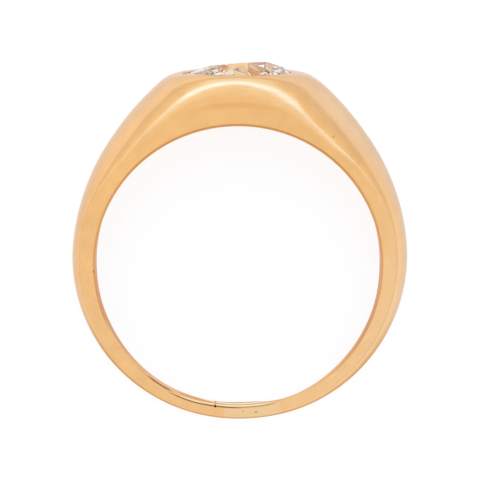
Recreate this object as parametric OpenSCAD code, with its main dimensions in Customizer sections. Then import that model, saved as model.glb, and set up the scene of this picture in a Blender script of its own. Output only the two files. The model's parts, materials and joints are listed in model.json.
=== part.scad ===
// Flush set gypsy ring, lying on its side. The finger axis leans away from the stone, because the
// flank that it lies on widens towards the head. X runs across the ring and the stone faces -Y.

/* [Finger hole] */
// Diameter of the finger hole
bore_d = 19; // [17:0.1:21]

/* [Width across the finger] */
// Width at the ridge above the stone, the widest place
head_w = 9; // [8.4:0.1:9.6]
// Width at the foot of the shank, the narrowest place
foot_w = 2.3; // [2:0.1:3]

/* [Stone] */
// Diameter of the stone at its girdle
stone_d = 7.1; // [6:0.1:7.2]
// Diameter of the table, corner to corner, as a share of the stone
table_share = 0.56; // [0.5:0.01:0.62]
// Height of the crown above the girdle
crown_h = 0.68; // [0.5:0.01:0.8]
// Thickness of the girdle where it is thickest, at the tips of its scallops
girdle_h = 0.14; // [0.12:0.01:0.2]
// Slope of the pavilion, in degrees
pavilion_slope = 38.5; // [36:0.1:39]
// Diameter of the small flat culet
culet_d = 0.5; // [0.3:0.05:0.8]
// Depth of the girdle plane below the flat top of the head
stone_sink = 0.14; // [0.14:0.01:0.3]
// How far the stone sits off the middle of the head, towards the fuller side of the ring
stone_offset = 0.12; // [0:0.01:0.2]
// How far the stone is turned in its seat, in degrees
stone_turn = 17; // [-22:1:22]

/* [Seat] */
// Gap between the stone and the gold
seat_gap = 0.05; // [0.04:0.01:0.08]
// Width of the burnished lip that covers the edge of the stone
lip_w = 0.14; // [0.1:0.01:0.15]
// Diameter of the opening from the seat into the finger hole
back_hole_d = 3; // [2:0.1:3.6]

/* [Hidden] */

// Cross sections of the gold, from the middle of the head round to the foot of the shank. Wall and
// ridge heights are measured outwards from the finger hole.
// Columns: angle from the stone, mean height of the crest, height of the ridge, squareness of the
// dome, and how much higher than the mean the crest is on the fuller side, which faces -X.
ANGLE = 0;
CREST = 1;
RIDGE = 2;
SQUARENESS = 3;
FULLER = 4;
SECTIONS = [
    [0, 3.31, 2.95, 7, 0],
    [5, 3.35, 2.92, 6, 0],
    [10, 3.49, 2.80, 4, 0.01],
    [15, 3.72, 2.60, 2.5, 0.02],
    [18, 3.84, 2.44, 2.2, 0.04],
    [21, 3.87, 2.22, 2.05, 0.06],
    [25, 3.66, 1.93, 2, 0.1],
    [30, 3.33, 1.60, 2, 0.11],
    [37, 2.92, 1.36, 2, 0.11],
    [45, 2.54, 1.22, 2, 0.12],
    [60, 2.07, 1.02, 2, 0.13],
    [75, 1.78, 0.80, 2, 0.13],
    [90, 1.64, 0.62, 2, 0.11],
    [120, 1.32, 0.46, 2, 0.08],
    [150, 1.05, 0.38, 2, 0.05],
    [180, 0.90, 0.34, 2, 0],
];
LAST = len(SECTIONS) - 1;

// Spacing of the lofted sections round the ring, close about the head and wider along the shank
HEAD_ARC = 45;
HEAD_STEP = 2.5;
SHANK_STEP = 5;
// Number of steps across the dome of a section
DOME_STEPS = 20;
// The loft's inner side stands this far inside the finger hole, which is then bored through it
BORE_STOCK = 0.5;
// The tool that cuts the seat starts this far inside the finger hole and ends this far above the head
SEAT_OVERRUN = 0.8;
// The burnished mouth of the seat widens by this much for each millimetre of its height
MOUTH_FLARE = 0.26;
// Length of a cutting tool, longer than anything that it cuts
REACH = 40;
// Facets round a full circle
ROUND = 96;
// Kites round the stone's crown, and mains round its pavilion
STONE_FOLD = 8;
// How far the stars run down from the table, and the lower halves from the girdle, as shares of the
// crown and the pavilion
STAR_SHARE = 0.45;
LOWER_SHARE = 0.6;

bore_r = bore_d / 2;
top_r = bore_r + SECTIONS[0][CREST];
ridge_r = bore_r + SECTIONS[0][RIDGE];
foot_ridge_r = bore_r + SECTIONS[LAST][RIDGE];

// Each flank is one plane, so the half width falls evenly from the head's ridge to the foot
flank_slope = (head_w - foot_w) / 2 / (ridge_r + foot_ridge_r);
mid_half_w = foot_w / 2 + flank_slope * foot_ridge_r;
lean = atan(flank_slope);

stone_r = stone_d / 2;
table_r = stone_r * table_share;
girdle_r = top_r - stone_sink;
table_plane_r = girdle_r + crown_h;
pavilion_h = (stone_r - culet_d / 2) * tan(pavilion_slope);
// Neighbouring facets of the stone meet midway between them, further out than their middles
half_turn = 180 / STONE_FOLD;
kite_slope = crown_h / (stone_r - table_r);
star_h = crown_h * (1 - STAR_SHARE);
star_r = (stone_r - star_h / kite_slope) / cos(half_turn);
lower_h = pavilion_h * LOWER_SHARE;
lower_r = (stone_r - lower_h / tan(pavilion_slope)) / cos(half_turn);
upper_slope = star_h / (stone_r - star_r);
lower_slope = lower_h / (stone_r - lower_r);

// How far the ring reaches to the front and back of its finger axis as it lies, for its origin
front_reach = table_plane_r * cos(lean) + table_r * sin(lean);
foot_dome = SECTIONS[LAST][CREST] - SECTIONS[LAST][RIDGE];
back_reach = foot_ridge_r * cos(lean) + norm([foot_dome * cos(lean), foot_w / 2 * sin(lean)]);
axis_y = (front_reach - back_reach) / 2;
axis_z = mid_half_w * cos(lean);

// A smooth curve through one column of the table, level at the head and at the foot
function rise(i, column) = i == 0 || i == LAST ? 0
    : (SECTIONS[i + 1][column] - SECTIONS[i - 1][column])
        / (SECTIONS[i + 1][ANGLE] - SECTIONS[i - 1][ANGLE]);
function span_at(angle) = max([for (i = [0 : LAST - 1]) if (SECTIONS[i][ANGLE] <= angle) i]);
function smooth(a, b, rise_a, rise_b, t) =
    a * (2 * t ^ 3 - 3 * t ^ 2 + 1) + b * (3 * t ^ 2 - 2 * t ^ 3)
    + rise_a * (t ^ 3 - 2 * t ^ 2 + t) + rise_b * (t ^ 3 - t ^ 2);
function size_at(angle, column) =
    let (
        i = span_at(abs(angle)),
        from = SECTIONS[i],
        to = SECTIONS[i + 1],
        arc = to[ANGLE] - from[ANGLE],
        t = (abs(angle) - from[ANGLE]) / arc
    )
    smooth(from[column], to[column], rise(i, column) * arc, rise(i + 1, column) * arc, t);

// A point on a flank, 1 for the upper and -1 for the lower, at an angle from the stone and a radius
function flank_point(angle, radius, side) = [
    radius * sin(angle),
    -radius * cos(angle),
    side * (mid_half_w + flank_slope * radius * cos(angle)),
];

// One section: up a flank, across the dome between the ridges, and down the other flank. The dome
// keeps the half width that its ridge has.
function section(angle) =
    let (
        ridge = bore_r + size_at(angle, RIDGE),
        crest = size_at(angle, CREST) - sign(angle) * size_at(angle, FULLER),
        dome = crest - size_at(angle, RIDGE),
        power = 2 / size_at(angle, SQUARENESS),
        half_w = flank_point(angle, ridge, 1)[2]
    )
    concat(
        [flank_point(angle, bore_r - BORE_STOCK, 1)],
        [for (s = [0 : DOME_STEPS])
            let (
                turn = 90 - 180 * s / DOME_STEPS,
                across = sign(turn) * abs(sin(turn)) ^ power,
                radius = ridge + dome * max(0, cos(turn)) ^ power
            )
            [radius * sin(angle), -radius * cos(angle), half_w * across]
        ],
        [flank_point(angle, bore_r - BORE_STOCK, -1)]
    );

section_angles = concat(
    [for (a = [-180 : SHANK_STEP : -HEAD_ARC - SHANK_STEP]) a],
    [for (a = [-HEAD_ARC : HEAD_STEP : HEAD_ARC]) a],
    [for (a = [HEAD_ARC + SHANK_STEP : SHANK_STEP : 180 - SHANK_STEP]) a]
);

// A closed loft: each section joined to the next, and the last one to the first
module loft(sections) {
    count = len(sections);
    size = len(sections[0]);
    polyhedron(
        points = [for (s = sections) each s],
        faces = [
            for (i = [0 : count - 1], j = [0 : size - 1])
                let (
                    a = i * size + j,
                    b = i * size + (j + 1) % size,
                    c = (i + 1) % count * size + (j + 1) % size,
                    d = (i + 1) % count * size + j
                )
                each [[a, c, b], [a, d, c]]
        ],
        convexity = 6
    );
}

// Lays the ring down on its flank, with its origin under the middle of its outline
module lying() {
    translate([0, axis_y, axis_z]) rotate([-lean, 0, 0]) children();
}

// Stands on the girdle plane, with up pointing out of the ring through the stone
module at_stone() {
    translate([-stone_offset, -girdle_r, 0]) rotate([90, 0, 0]) children();
}

// What is cut away for the stone: the opening at the back, the cone under the pavilion, the groove
// for the girdle, the lip that follows the crown, and the mouth, bevelled by the burnisher.
module seat() {
    groove_r = stone_r + seat_gap;
    mouth_r = stone_r - lip_w;
    lip_h = seat_gap + lip_w * kite_slope;
    back_r = back_hole_d / 2;
    back_z = -girdle_h - seat_gap - (groove_r - back_r) * lower_slope;
    start_z = bore_r - girdle_r - SEAT_OVERRUN;
    end_z = stone_sink + SEAT_OVERRUN;
    rotate_extrude($fn = ROUND)
        polygon([
            [0, start_z],
            [back_r, start_z],
            [back_r, back_z],
            [groove_r, -girdle_h - seat_gap],
            [groove_r, seat_gap],
            [mouth_r, lip_h],
            [mouth_r + MOUTH_FLARE * (end_z - lip_h), end_z],
            [0, end_z],
        ]);
}

module gold_band() {
    color("#EBB272") lying() difference() {
        loft([for (a = section_angles) section(a)]);
        cylinder(r = bore_r, h = REACH, center = true, $fn = ROUND);
        at_stone() seat();
    }
}

// A ring of corners on the stone, evenly spaced from a first angle, at a radius and given heights
function corners(count, first, radius, heights) = [
    for (i = [0 : count - 1])
        let (angle = first + i * 360 / count)
        [radius * cos(angle), radius * sin(angle), heights[i % len(heights)]]
];

// The stone stands with its girdle plane at zero. Eight kites and eight pavilion mains touch the
// girdle, eight stars surround the table, and a pair of halves fills each space that is left.
module diamond() {
    culet_r = culet_d / 2 / cos(half_turn);
    // Between two corners the round girdle bulges past the halves, which scallops its edges
    bulge = stone_r * (1 / cos(half_turn / 2) - 1);
    upper_dip = upper_slope * bulge;
    lower_rise = lower_slope * bulge;

    // How many corners lie round the table and the girdle, and where each ring of corners starts in
    // the list of points
    fold = STONE_FOLD;
    girdle_fold = 4 * fold;
    star = fold;
    upper = star + fold;
    lower = upper + girdle_fold;
    pavilion = lower + girdle_fold;
    culet = pavilion + fold;
    color("white") lying() at_stone() rotate(stone_turn) polyhedron(
        points = concat(
            corners(fold, 0, table_r, [crown_h]),
            corners(fold, half_turn, star_r, [star_h]),
            corners(girdle_fold, 0, stone_r, [0, -upper_dip]),
            corners(girdle_fold, 0, stone_r, [-girdle_h, lower_rise - girdle_h]),
            corners(fold, half_turn, lower_r, [-girdle_h - lower_h]),
            corners(fold, half_turn, culet_r, [-girdle_h - pavilion_h])
        ),
        faces = concat(
            [[for (i = [fold - 1 : -1 : 0]) i]],
            [for (i = [0 : fold - 1])
                let (next = (i + 1) % fold, last = (i + fold - 1) % fold)
                each [
                    [i, next, star + i],
                    [i, star + i, upper + 4 * i, star + last],
                    [culet + i, culet + last, pavilion + last, lower + 4 * i, pavilion + i],
                    for (side = [0, 2])
                        let (a = 4 * i + side, b = a + 1, c = (a + 2) % girdle_fold)
                        each [
                            [upper + a, star + i, upper + c, upper + b],
                            [lower + c, pavilion + i, lower + a, lower + b],
                        ],
                    for (a = [4 * i : 4 * i + 3])
                        let (b = (a + 1) % girdle_fold)
                        [upper + a, upper + b, lower + b, lower + a],
                ]
            ],
            [[for (i = [0 : fold - 1]) culet + i]]
        )
    );
}

gold_band();
diamond();
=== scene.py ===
import json
import math

import bpy
import numpy as np
from mathutils import Matrix, Vector


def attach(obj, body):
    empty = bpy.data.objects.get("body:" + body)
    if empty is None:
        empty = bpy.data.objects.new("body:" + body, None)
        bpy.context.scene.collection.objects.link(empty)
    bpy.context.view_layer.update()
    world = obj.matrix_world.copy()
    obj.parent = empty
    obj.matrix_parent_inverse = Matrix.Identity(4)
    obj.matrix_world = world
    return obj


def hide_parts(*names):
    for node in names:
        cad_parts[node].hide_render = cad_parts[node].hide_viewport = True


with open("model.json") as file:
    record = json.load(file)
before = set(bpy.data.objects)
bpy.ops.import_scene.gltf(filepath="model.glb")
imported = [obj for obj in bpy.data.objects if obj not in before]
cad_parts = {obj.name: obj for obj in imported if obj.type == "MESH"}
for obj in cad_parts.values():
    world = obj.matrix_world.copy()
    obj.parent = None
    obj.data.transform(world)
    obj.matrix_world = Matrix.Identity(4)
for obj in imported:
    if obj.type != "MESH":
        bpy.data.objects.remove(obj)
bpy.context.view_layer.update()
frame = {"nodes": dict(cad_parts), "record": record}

# The camera looks through the finger hole, as in the photograph. It stands a few degrees off the
# finger's axis, towards the foot of the shank, so that the foot's inner wall and the stone's crown
# show. Its long lens keeps the ring's sides close to parallel.
MM = 0.001
CAMERA_PLACE = Vector((-0.127, 11.762, 287.095)) * MM
CAMERA_TARGET = Vector((-0.127, 0.013, 2.837)) * MM
LENS = 320.2
SENSOR = 36.0

backwards = (CAMERA_PLACE - CAMERA_TARGET).normalized()
rightwards = Vector((-1, 0, 0))
camera_data = bpy.data.cameras.new("camera")
camera_data.lens = LENS
camera_data.sensor_width = SENSOR
camera = bpy.data.objects.new("camera", camera_data)
camera_axes = Matrix((rightwards, backwards.cross(rightwards), backwards)).transposed()
camera.matrix_world = Matrix.Translation(CAMERA_PLACE) @ camera_axes.to_4x4()
bpy.context.scene.collection.objects.link(camera)
bpy.context.scene.camera = camera
bpy.context.scene.view_settings.view_transform = "Standard"


# The floor is one large sheet of white acrylic, cast with a matt face and lit from underneath. The
# ring lies on it with nothing under or round it.
def linear(hex_colour):
    """An sRGB hex colour as linear red, green, blue and alpha."""
    parts = [int(hex_colour[i : i + 2], 16) / 255 for i in (1, 3, 5)]
    return [p / 12.92 if p <= 0.04045 else ((p + 0.055) / 1.055) ** 2.4 for p in parts] + [1]


def add(tree, kind, inputs=(), **settings):
    """Adds a node with its settings. Its inputs are given by name or in their order, and each is a
    value, or a node or socket to link."""
    made = tree.nodes.new("ShaderNode" + kind)
    for name, value in settings.items():
        setattr(made, name, value)
    for key, value in inputs.items() if isinstance(inputs, dict) else enumerate(inputs):
        if isinstance(key, int):
            socket = made.inputs[key]
        else:
            socket = next(i for i in made.inputs if i.enabled and i.name == key)
        if isinstance(value, bpy.types.Node):
            value = next(output for output in value.outputs if output.enabled)
        if isinstance(value, bpy.types.NodeSocket):
            tree.links.new(value, socket)
        else:
            socket.default_value = value
    return made


def new_material(name):
    """An empty material and its node tree."""
    made = bpy.data.materials.new(name)
    made.use_nodes = True
    made.node_tree.nodes.clear()
    return made, made.node_tree


def pick(piece=None):
    """Deselects everything, then selects one piece and makes it the active one."""
    bpy.ops.object.select_all(action="DESELECT")
    if piece:
        piece.select_set(True)
        bpy.context.view_layer.objects.active = piece


FLOOR_SIZE = 4.0
FLOOR_GLOW = 0.85

pick()
bpy.ops.mesh.primitive_plane_add(size=FLOOR_SIZE)
floor = bpy.context.object
floor.name = "floor"

# Cast white acrylic, lit from underneath: the matt face scatters the light, so the eye sees an even
# white without gloss, on which the ring leaves only a faint shade.
acrylic, tree = new_material("lit_white_acrylic")
surface = add(
    tree,
    "BsdfPrincipled",
    {
        "Base Color": linear("#707070"),
        "Roughness": 0.9,
        "Emission Color": linear("#FFFFFF"),
        "Emission Strength": FLOOR_GLOW,
    },
)
add(tree, "OutputMaterial", {"Surface": surface})
floor.data.materials.append(acrylic)

# The room is an even white tent with a slightly warmer ceiling. One long soft box hangs overhead and
# draws the bright line along the ridge of the head. Its cloth is brightest in the middle, and an
# apron of the same cloth hangs down in front of it, on the stone's side.
WALL_LIGHT = (0.88, 0.88, 0.88, 1)
CEILING_LIGHT = (0.99, 0.97, 0.86, 1)
WALL_TOP = 0.15
CEILING_FROM = 0.75
BOX_DISTANCE = 0.55
BOX_SHIFT = -0.01
# Columns: how many degrees the cloth is turned off the vertical, towards the stone's side, its length
# and width in metres, and its light in red, green and blue. A power of pi for each square metre makes
# the cloth as bright as that light.
BOX_CLOTHS = {
    "soft_box_middle": (6, 0.51, 0.17, (0.36, 0.85, 2.4)),
    "soft_box_cloth": (4, 0.66, 0.50, (0.06, 0.18, 0.36)),
    "soft_box_apron": (41, 0.50, 0.47, (0.10, 0.30, 0.64)),
}

room = bpy.data.worlds.new("room")
room.use_nodes = True
tree = room.node_tree
tree.nodes.clear()
direction = add(tree, "TexCoord").outputs["Generated"]
height = add(tree, "SeparateXYZ", (direction,)).outputs["Z"]
to_ceiling = add(tree, "MapRange", (height, WALL_TOP, CEILING_FROM), interpolation_type="SMOOTHSTEP")
tent = add(
    tree,
    "Mix",
    {"Factor": to_ceiling, "A": WALL_LIGHT, "B": CEILING_LIGHT},
    data_type="RGBA",
)
add(tree, "OutputWorld", {"Surface": add(tree, "Background", {"Color": tent})})
bpy.context.scene.world = room

for name, (turn, length, width, colour) in BOX_CLOTHS.items():
    cloth = bpy.data.lights.new(name, "AREA")
    cloth.shape = "RECTANGLE"
    cloth.size = length
    cloth.size_y = width
    cloth.energy = math.pi * length * width
    cloth.color = colour
    soft_box = bpy.data.objects.new(name, cloth)
    towards_box = Vector((BOX_SHIFT, -math.sin(math.radians(turn)), math.cos(math.radians(turn))))
    soft_box.location = towards_box * BOX_DISTANCE
    soft_box.rotation_mode = "QUATERNION"
    soft_box.rotation_quaternion = towards_box.to_track_quat("Z", "Y")
    bpy.context.scene.collection.objects.link(soft_box)

# The gold band is one casting in 14 carat gold. Its flanks were filed flat and its back was domed,
# apart from the flat top round the stone. The head is cut through for the stone, and a length of
# paler gold was soldered into the foot to make the ring larger.
hole = next(m for m in frame["record"]["mounts"] if m["name"] == "finger_hole")
BORE_R = hole["dims"]["r_mm"]
LEAN = math.atan2(hole["axis"][1], hole["axis"][2])
LYING = Matrix.Translation(Vector(hole["pos_m"])) @ Matrix.Rotation(-LEAN, 4, "X")
FLANK_SLOPE = math.tan(LEAN)
MID_HALF_W = hole["pos_m"][2] / MM / math.cos(LEAN)

# Columns: angle from the stone, mean height of the crest above the finger hole, how much higher the
# crest is on the fuller side, which faces -X, the part of the back that is rounded, which leaves a
# flat top round the stone, and how wide the finger hole's rim is eased.
SECTIONS = [
    [0, 3.35, 0, 0.14, 0.19],
    [5, 3.39, 0, 0.17, 0.19],
    [10, 3.52, 0.01, 0.28, 0.19],
    [15, 3.73, 0.02, 0.50, 0.19],
    [18, 3.84, 0.04, 0.65, 0.19],
    [21, 3.87, 0.06, 0.78, 0.19],
    [25, 3.66, 0.1, 0.90, 0.19],
    [30, 3.33, 0.11, 0.95, 0.19],
    [37, 2.92, 0.11, 0.96, 0.19],
    [45, 2.54, 0.12, 0.96, 0.19],
    [60, 2.07, 0.13, 0.96, 0.16],
    [75, 1.78, 0.13, 0.96, 0.11],
    [90, 1.64, 0.11, 0.96, 0.06],
    [120, 1.32, 0.08, 0.96, 0.03],
    [150, 1.05, 0.05, 0.96, 0.03],
    [180, 0.90, 0, 0.96, 0.05],
]
# Columns: angle from the stone, positive towards +X, height above the finger hole where the flank
# starts to roll over into the back, how far it keeps to the flank's plane from there, and how much of
# the round is kept for the crest's side of the corner.
ROLL = [
    [-180, 0.50, 0.18, 0.45],
    [-150, 0.60, 0.23, 0.45],
    [-120, 0.68, 0.32, 0.45],
    [-90, 0.82, 0.42, 0.45],
    [-75, 0.94, 0.45, 0.45],
    [-60, 0.90, 0.58, 0.45],
    [-50, 0.84, 0.64, 0.45],
    [-42, 0.70, 0.88, 0.45],
    [-37, 0.68, 1.06, 0.45],
    [-32, 0.74, 1.25, 0.43],
    [-28, 0.84, 1.38, 0.40],
    [-24, 1.00, 1.50, 0.37],
    [-20, 1.10, 1.74, 0.34],
    [-16, 1.08, 2.02, 0.35],
    [-12, 1.20, 1.98, 0.35],
    [-8, 1.48, 1.64, 0.35],
    [-4, 1.74, 1.38, 0.35],
    [0, 1.90, 1.26, 0.35],
    [4, 1.92, 1.26, 0.35],
    [8, 1.90, 1.32, 0.35],
    [12, 1.82, 1.40, 0.35],
    [16, 1.77, 1.40, 0.35],
    [20, 1.64, 1.38, 0.34],
    [24, 1.49, 1.33, 0.37],
    [28, 1.34, 1.28, 0.40],
    [32, 1.22, 1.23, 0.43],
    [37, 1.10, 1.02, 0.45],
    [42, 1.00, 0.82, 0.45],
    [50, 0.96, 0.62, 0.45],
    [60, 1.04, 0.42, 0.45],
    [75, 1.10, 0.27, 0.45],
    [90, 0.94, 0.27, 0.45],
    [120, 0.71, 0.24, 0.45],
    [150, 0.60, 0.19, 0.45],
    [180, 0.50, 0.18, 0.45],
]
# Columns: angle from the stone, positive towards +X, width and height of the slant that wear has put
# on the finger hole's lower rim. The insert is newer and has none.
WORN_RIM = [
    [-180, 0, 0.3],
    [-173, 0.02, 0.5],
    [-168, 0.14, 1.0],
    [-164, 0.19, 1.4],
    [-160, 0.23, 1.65],
    [-155, 0.25, 1.8],
    [-150, 0.24, 1.8],
    [-140, 0.20, 1.65],
    [-130, 0.17, 1.6],
    [-120, 0.14, 1.6],
    [-105, 0.11, 1.6],
    [-90, 0.05, 0.6],
    [0, 0.15, 0.45],
    [90, 0.05, 0.6],
    [105, 0.08, 1.1],
    [120, 0.07, 0.8],
    [130, 0.11, 0.9],
    [140, 0.125, 0.92],
    [150, 0.12, 0.85],
    [160, 0.09, 0.6],
    [170, 0.04, 0.3],
    [180, 0, 0.3],
]
STATIONS = 240
DOME_STEPS = 30
FLANK_STEPS = 10
RIM_STEPS = 6
WALL_STEPS = 8
RIM_SINK = 1.6
ROUND_SAMPLES = 300
FLAT_SAMPLES = 60


def row_at(table, angle):
    """A table's values at any angle, each on a smooth curve through its rows."""
    angles = [row[0] for row in table]
    last = len(table) - 1
    i = max(0, min(last - 1, sum(a <= angle for a in angles) - 1))
    arc = angles[i + 1] - angles[i]
    t = (angle - angles[i]) / arc

    def curve(column):
        def rise(k):
            if k in (0, last):
                return 0
            ahead, behind = table[k + 1], table[k - 1]
            return (ahead[column] - behind[column]) / (ahead[0] - behind[0]) * arc

        return (
            table[i][column] * (2 * t**3 - 3 * t**2 + 1)
            + table[i + 1][column] * (3 * t**2 - 2 * t**3)
            + rise(i) * (t**3 - 2 * t**2 + t)
            + rise(i + 1) * (t**3 - t**2)
        )

    return [curve(column) for column in range(1, len(table[0]))]


def half_back(start, corner, height, half_w, rounded, share):
    """Half of the back's section from the flank to the middle of the crest, as radius and place: a
    round corner and then a flat top. Points are spread by length and by bend."""
    t = np.linspace(0, 1, ROUND_SAMPLES)[:, None]
    span = rounded * half_w
    hull = np.array([start, corner, (height, half_w - share * span), (height, half_w - span)])
    round_part = (
        hull[0] * (1 - t) ** 3
        + 3 * hull[1] * t * (1 - t) ** 2
        + 3 * hull[2] * t**2 * (1 - t)
        + hull[3] * t**3
    )
    flat_part = np.linspace(round_part[-1], (height, 0), FLAT_SAMPLES)[1:]
    path = np.vstack([round_part, flat_part])
    steps = np.diff(path, axis=0)
    length = np.hypot(*steps.T)
    heading = np.arctan2(steps[:, 0], -steps[:, 1])
    bend = np.abs(np.diff(heading, prepend=heading[0]))
    travelled = np.concatenate([[0], np.cumsum(length / length.sum() + bend / bend.sum())])
    at = np.linspace(0, travelled[-1], DOME_STEPS + 1)
    return [(np.interp(a, travelled, path[:, 0]), np.interp(a, travelled, path[:, 1])) for a in at]


def outline(angle):
    """The section at an angle, as radius and place along the finger: out over the back, in along the
    upper flank, over the eased rim, down the finger hole, and back by the lower flank."""
    around = math.cos(math.radians(angle))
    crest, fuller, rounded, ease = row_at(SECTIONS, abs(angle))
    start, keep, share = row_at(ROLL, angle)
    crest += BORE_R - math.copysign(fuller, angle)

    def flank(radius):
        return MID_HALF_W + FLANK_SLOPE * radius * around

    roll = BORE_R + start
    corner = (roll + keep, flank(roll + keep))
    upper = half_back((roll, flank(roll)), corner, crest, flank(roll + keep), rounded, share)
    upper.reverse()
    eased = BORE_R + ease
    for step in range(1, FLANK_STEPS + 1):
        radius = roll + (eased - roll) * step / FLANK_STEPS
        upper.append((radius, flank(radius)))
    for step in range(1, RIM_STEPS + 1):
        turn = math.pi / 2 * step / RIM_STEPS
        radius = eased - ease * math.sin(turn)
        upper.append((radius, flank(radius) - RIM_SINK * ease * (1 - math.cos(turn))))
    top = upper[-1][1]
    slant_w, slant_h = row_at(WORN_RIM, angle)
    bottom = slant_h - flank(BORE_R)
    wall = [(BORE_R, top + (bottom - top) * step / WALL_STEPS) for step in range(1, WALL_STEPS + 1)]
    worn = BORE_R + slant_w
    for step in range(1, RIM_STEPS + 1):
        radius = BORE_R + slant_w * step / RIM_STEPS
        wall.append((radius, bottom - (flank(worn) + bottom) * step / RIM_STEPS))
    lower = []
    for step in range(1, FLANK_STEPS + 1):
        radius = worn + (roll - worn) * step / FLANK_STEPS
        lower.append((radius, -flank(radius)))
    lower += [(radius, -place) for radius, place in reversed(upper[1:DOME_STEPS])]
    return upper + wall + lower


def ring_point(angle, radius, place):
    """A point of the lying ring, in metres."""
    a = math.radians(angle)
    return LYING @ (Vector((radius * math.sin(a), -radius * math.cos(a), place)) * MM)


# A torus gives the closed band, and each of its rings of points is laid on the section there. The
# torus starts at +X, a quarter turn on from the stone.
pick()
bpy.ops.mesh.primitive_torus_add(
    major_segments=STATIONS,
    minor_segments=len(outline(0)),
    major_radius=BORE_R * MM,
    minor_radius=MM,
)
band = bpy.context.object
band.name = "gold_ring"
spots = []
for station in range(STATIONS):
    angle = (360 * station / STATIONS + 90 + 180) % 360 - 180
    spots += [ring_point(angle, radius, place) for radius, place in outline(angle)]
for vertex, spot in zip(band.data.vertices, spots):
    vertex.co = spot
band.data.update()


def cut_away(piece, tool):
    """Cuts a tool's shape out of a piece, and removes the tool."""
    cut = piece.modifiers.new("cut", "BOOLEAN")
    cut.object = tool
    cut.solver = "EXACT"
    pick(piece)
    bpy.ops.object.modifier_apply(modifier=cut.name)
    bpy.data.objects.remove(tool)


# The seat is a stepped hole with its own axis: an opening at the back, a cone under the pavilion, a
# groove for the girdle, and a lip that was burnished down over the edge of the stone.
STONE_R = 3.55
STONE_OFFSET = 0.12
GIRDLE_R = BORE_R + 3.17
GIRDLE_H = 0.14
SEAT_GAP = 0.05
LIP_W = 0.14
BACK_HOLE_R = 1.5
SEAT_SLOPE = 0.851
SEAT_CORNERS = 160
STONE_PLACE = Vector((-STONE_OFFSET, -GIRDLE_R, 0)) * MM
AT_STONE = LYING @ Matrix.Translation(STONE_PLACE) @ Matrix.Rotation(math.pi / 2, 4, "X")
groove_r = STONE_R + SEAT_GAP
# From the flare of the lip, over its edge, down the groove and the cone, and out into the finger
# hole. Columns: radius, and height above the top edge of the girdle.
seat_profile = [
    (STONE_R - LIP_W + 0.3, 0.8),
    (STONE_R - LIP_W + 0.06, 0.16),
    (STONE_R - LIP_W, 0.111),
    (groove_r, SEAT_GAP),
    (groove_r, -GIRDLE_H - SEAT_GAP),
    (BACK_HOLE_R, -GIRDLE_H - SEAT_GAP - (groove_r - BACK_HOLE_R) * SEAT_SLOPE),
    (BACK_HOLE_R, BORE_R - GIRDLE_R - 0.8),
]
pick()
first_r, first_z = seat_profile[0]
bpy.ops.mesh.primitive_circle_add(
    vertices=SEAT_CORNERS, radius=first_r * MM, fill_type="NGON", location=(0, 0, first_z * MM)
)
seat_tool = bpy.context.object
bpy.ops.object.transform_apply(location=True)
bpy.ops.object.mode_set(mode="EDIT")
for (r, z), (next_r, next_z) in zip(seat_profile, seat_profile[1:]):
    bpy.ops.mesh.extrude_region_move(TRANSFORM_OT_translate={"value": (0, 0, (next_z - z) * MM)})
    share = next_r / r
    bpy.ops.transform.resize(value=(share, share, 1), center_override=(0, 0, next_z * MM))
bpy.ops.mesh.select_all(action="SELECT")
bpy.ops.mesh.normals_make_consistent(inside=False)
bpy.ops.object.mode_set(mode="OBJECT")
seat_tool.data.transform(AT_STONE)
cut_away(band, seat_tool)

# Two casting pits in the insert, a notch across the rim beside it, a knock on the shoulder and a nick
# in the rim. Columns: angle from the stone, radius, the mark's half length, half width and depth, and
# how dark its dirt is.
MARKS = [
    [-178.1, 9.75, 0.06, 0.06, 0.04, 0.2],
    [-173.1, 9.88, 0.05, 0.09, 0.05, 0.45],
    [170.8, 9.46, 0.09, 0.06, 0.30, 1.0],
    [-35.4, 10.77, 0.11, 0.09, 0.04, 0.3],
    [91.3, 9.54, 0.08, 0.07, 0.06, 0.4],
]
ABOVE_RING = 8
RIM_REACH = 0.04
SHARP_EDGE = math.radians(35)
for angle, r, half_length, half_width, depth, dark in MARKS:
    above = ring_point(angle, max(r, BORE_R + RIM_REACH), ABOVE_RING)
    place = band.ray_cast(above, -Vector(hole["axis"]))[1]
    pick()
    bpy.ops.mesh.primitive_uv_sphere_add(segments=16, ring_count=10, radius=MM)
    mark_tool = bpy.context.object
    mark_tool.data.transform(
        Matrix.Translation(place)
        @ Matrix.Rotation(-LEAN, 4, "X")
        @ Matrix.Rotation(math.radians(angle), 4, "Z")
        @ Matrix.Diagonal((half_width, half_length, depth, 1))
    )
    cut_away(band, mark_tool)
bpy.ops.object.shade_smooth_by_angle(angle=SHARP_EDGE)

# Fourteen carat gold, an alloy with copper and silver, buffed round the band and then worn for years.
# The eye gets a soft warm gloss with fine lines that way, dull patches, dirt in the marks and seams,
# and a paler alloy at the foot, and a dark reflection along the rim is painted on as a darker line.
# Gloss at a low angle has a tint of its own, the edge tint, and it colours most of the finger hole's
# wall, where it is set zone by zone to paint the wall's reflections.
gold, tree = new_material("worn_14_carat_gold")

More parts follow.
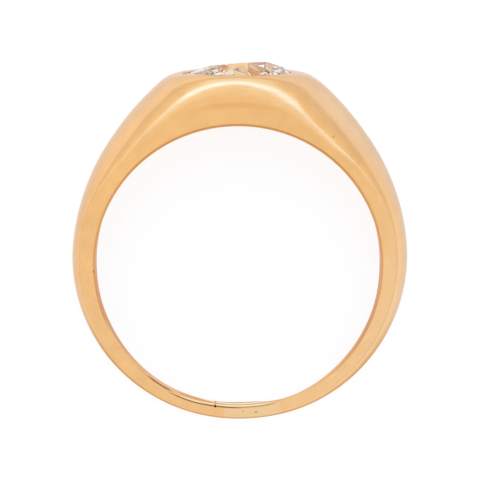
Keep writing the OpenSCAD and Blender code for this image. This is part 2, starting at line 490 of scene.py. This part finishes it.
# What the patterns and tints are measured by, in millimetres and degrees. Inward is 0 at the edge of
# the finger hole and positive out on the flank, and it goes negative down the wall, where each
# millimetre of depth counts for 0.15 mm.
WALL_SHARE = 0.15
on_piece = add(tree, "TexCoord").outputs["Object"]
in_ring = add(
    tree,
    "Mapping",
    {"Vector": on_piece, "Location": LYING.translation, "Rotation": (-LEAN, 0, 0), "Scale": (MM, MM, MM)},
    vector_type="TEXTURE",
)
x, y, z = add(tree, "SeparateXYZ", (in_ring,)).outputs
radius = add(tree, "VectorMath", (add(tree, "CombineXYZ", (x, y)),), operation="LENGTH")
around = add(tree, "Math", (x, y), operation="ARCTAN2")
from_foot = add(tree, "Math", (around,), operation="DEGREES")
to_foot = add(tree, "Math", (from_foot,), operation="ABSOLUTE")
flank = add(tree, "Math", (y, -FLANK_SLOPE, MID_HALF_W), operation="MULTIPLY_ADD")
off_middle = add(tree, "Math", (z,), operation="ABSOLUTE")
flank_drop = add(tree, "Math", (flank, off_middle), operation="SUBTRACT")
past_hole = add(tree, "Math", (radius, BORE_R), operation="SUBTRACT")
inward = add(tree, "Math", (flank_drop, -WALL_SHARE, past_hole), operation="MULTIPLY_ADD")
seat_across = add(tree, "Math", (x, STONE_OFFSET), operation="ADD")
from_seat = add(tree, "VectorMath", (add(tree, "CombineXYZ", (seat_across, z)),), operation="LENGTH")

# Buffing leaves lines about 0.01 mm apart, too fine to show, so they are drawn 0.11 mm apart and
# about 1.7 mm long. The dull patches are about 1.1 mm wide, and the paler clouds about 4 mm.
LINES_PER_MM = 9
LINES_PER_RADIAN = 6
PATCHES_PER_MM = 0.9
CLOUDS_PER_MM = 0.23
buffed = add(
    tree,
    "CombineXYZ",
    (
        add(tree, "Math", (around, LINES_PER_RADIAN), operation="MULTIPLY"),
        add(tree, "Math", (radius, LINES_PER_MM), operation="MULTIPLY"),
        add(tree, "Math", (z, LINES_PER_MM), operation="MULTIPLY"),
    ),
)
lines = add(tree, "TexNoise", {"Vector": buffed, "Scale": 1.0, "Detail": 3.0, "Roughness": 0.6})
patches = add(
    tree,
    "TexNoise",
    {"Vector": on_piece, "Scale": PATCHES_PER_MM / MM, "Detail": 4.0, "Roughness": 0.65},
)
clouds = add(
    tree,
    "TexNoise",
    {"Vector": on_piece, "Scale": CLOUDS_PER_MM / MM, "Detail": 2.0, "Roughness": 0.5},
)

# The worn seam along the rim of the foot runs out past the insert on the +X side. A curve over 90
# degrees holds it, between 0.2 mm down the wall and 0.2 mm out on the flank. Columns: degrees from
# the foot, positive towards +X, and the seam's inward place in millimetres.
SEAM = [
    (-17, 0.040),
    (-12, 0.024),
    (-4, 0.016),
    (0, 0.016),
    (6, 0.020),
    (12, 0.044),
    (20, 0.096),
    (31, 0.100),
]
SEAM_SPAN = 90
SEAM_REACH = 0.4
along = add(tree, "Math", (from_foot, 1 / SEAM_SPAN, 0.5), operation="MULTIPLY_ADD")
seam_curve = add(tree, "FloatCurve", {"Value": along})
curve = seam_curve.mapping.curves[0]
for where, place in SEAM:
    curve.points.new(where / SEAM_SPAN + 0.5, place / SEAM_REACH + 0.5)
curve.points[0].location = (0, 0.5)
curve.points[-1].location = (1, 0.5)
seam_curve.mapping.update()
seam_at = add(tree, "Math", (seam_curve, SEAM_REACH, -SEAM_REACH / 2), operation="MULTIPLY_ADD")
past_seam = add(tree, "Math", (inward, seam_at), operation="SUBTRACT")

# A dark reflection is painted along the rim as a line. It lies a little down the wall on the foot's
# half, and out on the flank on the head's half, and it dips where the foot's +X side is worn low.
worn_low = [(from_foot, 39, 49), (from_foot, 71, 61)]
dip = 0.11
for edge in worn_low:
    low_edge = add(tree, "MapRange", edge, interpolation_type="SMOOTHSTEP")
    dip = add(tree, "Math", (dip, low_edge), operation="MULTIPLY")
line_at = add(tree, "MapRange", (to_foot, 72, 120, -0.03, 0.10), interpolation_type="SMOOTHSTEP")
line_at = add(tree, "Math", (line_at, dip), operation="SUBTRACT")
past_line = add(tree, "Math", (inward, line_at), operation="SUBTRACT")

# The zones that the tints are kept to, each the product of its edges. Columns of an edge: what it is
# measured by, where the zone has faded out, where it is full, and how strong it is at the two, where
# that isn't 0 and 1.
ZONES = {
    "shank": [(y, -9, 4)],
    # Painted light: the shank's -X side is made paler, as if lit from that side.
    "fuller side": [(x, 2, -11), (y, -9, 4)],
    # Painted reflection: the domed back is made paler, most on the -X side, for the room's pale
    # reflection at a low angle.
    "back": [
        (flank_drop, 0.2, 1.6),
        (radius, 9.8, 10.1),
        (to_foot, 45, 75, 0.25, 1),
        (x, 2, -11, 0.45, 0.95),
    ],
    # Painted shade across the head: darker towards -X, lighter towards +X.
    "head": [(y, -2, -6), (x, -8, 8, -0.025, 0.025)],
    "insert": [(from_foot, -17.65, -15.35), (from_foot, 5.67, 5.33)],
    "shoulders": [(to_foot, 110, 145)],
    # Painted dark reflection along the rim.
    "rim line": [(past_line, -0.13, -0.04), (past_line, 0.13, 0.04), (to_foot, 25, 60, 0, 0.8)],
    # A darker band on the flank below the head.
    "head line": [(radius, 10.65, 10.92), (radius, 11.25, 10.98), (to_foot, 158, 172, 0, 0.55)],
    "seat": [
        (from_seat, groove_r + 0.08, groove_r + 0.04),
        (y, -9.62, -9.68),
        (y, -GIRDLE_R - 0.09, -GIRDLE_R - 0.06),
    ],
    # Painted shade on the lip beside the stone, on its +X side.
    "rubbed spot": [
        (x, 3.24, 3.42),
        (x, 3.76, 3.58),
        (y, -12.4, -12.6),
        (z, -1.3, -0.1),
        (z, 1.9, 0.7),
    ],
    "seam": [
        (past_seam, -0.06, -0.02),
        (past_seam, 0.06, 0.02),
        (from_foot, -17, -12),
        (from_foot, 31, 24),
        (from_foot, -3, 3, 0.42, 0.8),
    ],
    "far seam": [
        (inward, -0.11, -0.06),
        (inward, 0.05, 0),
        (from_foot, 26.5, 30.5),
        (from_foot, 40.5, 36.5, 0, 0.7),
    ],
    # A painted highlight: a bright strip down the foot's wall beside the seam.
    "bright strip": [
        (past_seam, -0.18, -0.14),
        (past_seam, -0.06, -0.10),
        (from_foot, -17, -10),
        (from_foot, 27, 20),
    ],
    # Zones of painted reflection in the edge tint.
    "foot half": [(to_foot, 65, 30)],
    "sides": [(to_foot, 55, 75), (to_foot, 125, 105)],
    "low wall": [*worn_low, (inward, -0.20, -0.12)],
    "foot wall": [(from_foot, -19, -14), (from_foot, 27, 22)],
    "outside": [(inward, -0.04, 0.03)],
    "outside of foot": [(to_foot, 80, 50)],
}
zone = {}
for name, edges in ZONES.items():
    for edge in edges:
        mask = add(tree, "MapRange", edge, interpolation_type="SMOOTHSTEP")
        if name in zone:
            mask = add(tree, "Math", (zone[name], mask), operation="MULTIPLY")
        zone[name] = mask

# Dirt lies in the seams and in the marks, full in the middle of a mark and gone just past its edge,
# which is at 1.
DIRT_FULL = 0.6
DIRT_GONE = 1.2
dirt = add(tree, "Math", (zone["seam"], zone["far seam"]), operation="MAXIMUM")
for angle, r, half_length, half_width, depth, dark in MARKS:
    mark_at = (360 - angle) % 360 - 180
    widths = math.radians(r / half_width)
    beside = add(tree, "Math", (from_foot, widths, -mark_at * widths), operation="MULTIPLY_ADD")
    lengths = 1 / half_length
    beyond = add(tree, "Math", (inward, lengths, (BORE_R - r) * lengths), operation="MULTIPLY_ADD")
    away = add(tree, "VectorMath", (add(tree, "CombineXYZ", (beside, beyond)),), operation="LENGTH")
    mark_edge = (away, DIRT_GONE, DIRT_FULL, 0, dark)
    in_mark = add(tree, "MapRange", mark_edge, interpolation_type="SMOOTHSTEP")
    dirt = add(tree, "Math", (dirt, in_mark), operation="MAXIMUM")
zone["dirt"] = dirt

# The gold's colour, from the head down to the paler shank, has painted light on the -X side and a
# painted pale reflection on the back, and is made lighter and darker by the patterns and by painted
# shade across the head. Over it lie the insert, the painted dark reflection along the rim, a darker
# band on the flank below the head, the seat's tint, the painted lip shade, the dirt and the painted
# highlight strip, in that order.
colour = linear("#F0BE84")
for name, tint in (("shank", "#F0C18D"), ("fuller side", "#F2C89A"), ("back", "#EAC8A4")):
    colour = add(tree, "Mix", {"Factor": zone[name], "A": colour, "B": linear(tint)}, data_type="RGBA")
DARKEST = 0.81
tone = DARKEST
for pattern, share in ((patches, 0.18), (clouds, 0.10), (lines, 0.10)):
    tone = add(tree, "Math", (pattern, share, tone), operation="MULTIPLY_ADD")
# Painted shade: the head darkens towards -X and lightens towards +X.
tone = add(tree, "Math", (tone, zone["head"]), operation="ADD")
tone = add(tree, "CombineColor", (tone, tone, tone))
colour = add(
    tree,
    "Mix",
    {"Factor": 1.0, "A": colour, "B": tone},
    data_type="RGBA",
    blend_type="MULTIPLY",
)
# The painted dark reflection along the rim, darker on the shoulders.
rim_reflection_tint = add(
    tree,
    "Mix",
    {"Factor": zone["shoulders"], "A": linear("#DDA062"), "B": linear("#CC8D48")},
    data_type="RGBA",
)
for name, tint in (
    ("insert", linear("#EFCC9F")),
    ("rim line", rim_reflection_tint),
    ("head line", linear("#E5AD68")),
    ("seat", linear("#F4C37C")),
    ("rubbed spot", linear("#E4B070")),
    ("dirt", linear("#54300F")),
    ("bright strip", linear("#FFEECF")),
):
    colour = add(tree, "Mix", {"Factor": zone[name], "A": colour, "B": tint}, data_type="RGBA")

# The edge tint, in the same way, set zone by zone to paint the wall's reflections: paler on the
# foot's half and low on the wall where the foot's +X side is worn low, darker on the sides, and
# outside the wall pale, warmer outside the foot. On the foot's wall it runs through several pale
# tints of painted reflection, from the hole's edge to where inward is -0.4 mm.
WALL_SHOWN = 0.4
down_wall = add(tree, "MapRange", (inward, 0, -WALL_SHOWN))
foot_wall = add(tree, "ValToRGB", (down_wall,))
wall_tints = foot_wall.color_ramp.elements
wall_tints[0].color = linear("#E4BE8C")
wall_tints[1].color = linear("#E6CFAE")
for where, tint in ((0.18, "#E8CCA0"), (0.55, "#E0C296"), (0.72, "#E0C296"), (0.85, "#EAD4B0")):
    wall_tints.new(where).color = linear(tint)
outside_tint = add(
    tree,
    "Mix",
    {"Factor": zone["outside of foot"], "A": linear("#EFE6DC"), "B": linear("#D8B88C")},
    data_type="RGBA",
)
edge_tint = linear("#DFB184")
for name, tint in (
    ("foot half", linear("#F6D9B4")),
    ("sides", linear("#DA9C58")),
    ("low wall", linear("#FBE2BC")),
    ("foot wall", foot_wall),
    ("bright strip", linear("#FFF6DC")),
    ("outside", outside_tint),
    ("rubbed spot", linear("#DCAC70")),
    ("dirt", linear("#6A4522")),
):
    edge_tint = add(tree, "Mix", {"Factor": zone[name], "A": edge_tint, "B": tint}, data_type="RGBA")

# Lines and patches dull the gloss and stand in a faint relief. Dirt is a little less of a metal.
POLISH = 0.08
DULLING = 0.55
RELIEF = 0.01
dulled = add(tree, "Math", (lines, patches), operation="MULTIPLY")
relief = add(tree, "Math", (patches, 0.5, lines), operation="MULTIPLY_ADD")
surface = add(
    tree,
    "BsdfPrincipled",
    {
        "Base Color": colour,
        "Metallic": add(tree, "Math", (dirt, -0.2, 1.0), operation="MULTIPLY_ADD"),
        "Roughness": add(tree, "Math", (dulled, DULLING, POLISH), operation="MULTIPLY_ADD"),
        "Specular Tint": edge_tint,
        "Normal": add(tree, "Bump", {"Height": relief, "Strength": 0.25, "Distance": RELIEF * MM}),
    },
)
add(tree, "OutputMaterial", {"Surface": surface})
band.data.materials.clear()
band.data.materials.append(gold)
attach(band, "root")
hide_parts("gold_band")

# The stone is a diamond in the old European cut, ground to flat facets and polished. It is held in
# its seat by the lip, which was burnished over its edge, and it sits a little tilted.
CROWN_H = 0.68
TABLE_TILT = math.radians(5.57)
TABLE_LEAN = math.radians(-3.55)
STONE_TURN = math.radians(-2.98)
TABLE_SPREAD = 1.018
MIDDLE_SPREAD = 0.981
CROWN_SHARE = 0.992
PAVILION_DEPTH = 0.848
CROWN_FROM = 0.1
TABLE_FROM = 0.9
PAVILION_FROM = -0.2
WELD = 0.001

# The CAD stone's facets are kept. Its girdle stays where it is, and its crown and pavilion are moved
# to the real stone's slightly uneven cut.
stone = bpy.data.objects.new("old_cut_diamond", frame["nodes"]["diamond"].data.copy())
bpy.context.scene.collection.objects.link(stone)
pick(stone)
bpy.ops.object.mode_set(mode="EDIT")
bpy.ops.mesh.select_all(action="SELECT")
bpy.ops.mesh.remove_doubles(threshold=WELD * MM)
bpy.ops.mesh.normals_make_consistent(inside=False)
bpy.ops.object.mode_set(mode="OBJECT")
stone.data.transform(Matrix.Rotation(STONE_TURN, 4, "Z") @ AT_STONE.inverted())
for vertex in stone.data.vertices:
    raised = vertex.co.z / MM / CROWN_H
    if raised > CROWN_FROM:
        spread = 1 + (TABLE_SPREAD - 1) * raised
        if raised < TABLE_FROM:
            spread *= MIDDLE_SPREAD
        vertex.co.x *= spread
        vertex.co.y *= spread
        tilt = math.tan(TABLE_LEAN) * vertex.co.x + math.tan(TABLE_TILT) * vertex.co.y
        vertex.co.z = vertex.co.z * CROWN_SHARE + tilt * raised
    elif vertex.co.z / MM < PAVILION_FROM:
        vertex.co.z = PAVILION_DEPTH * (vertex.co.z + GIRDLE_H * MM) - GIRDLE_H * MM
stone.data.transform(AT_STONE)

# Polished diamond, clear and near colourless. The eye gets sharp pale reflections, and between them
# the gold of the seat. A real diamond's IOR is 2.42, and here it is brought down until the light and
# dark facets match. Each ray crosses many facets, so it is followed through more bounces than by
# default, which would leave them grey.
LIGHT_BOUNCES = 32
cycles = bpy.context.scene.cycles
cycles.max_bounces = LIGHT_BOUNCES
cycles.glossy_bounces = LIGHT_BOUNCES
cycles.transmission_bounces = LIGHT_BOUNCES
diamond, tree = new_material("polished_diamond")
surface = add(
    tree,
    "BsdfPrincipled",
    {
        "Base Color": linear("#FFFDF8"),
        "Specular Tint": linear("#FFFCDE"),
        "Roughness": 0.0,
        "IOR": 2.078,
        "Transmission Weight": 1.0,
    },
)
add(tree, "OutputMaterial", {"Surface": surface})
stone.data.materials.clear()
stone.data.materials.append(diamond)
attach(stone, "root")
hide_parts("diamond")
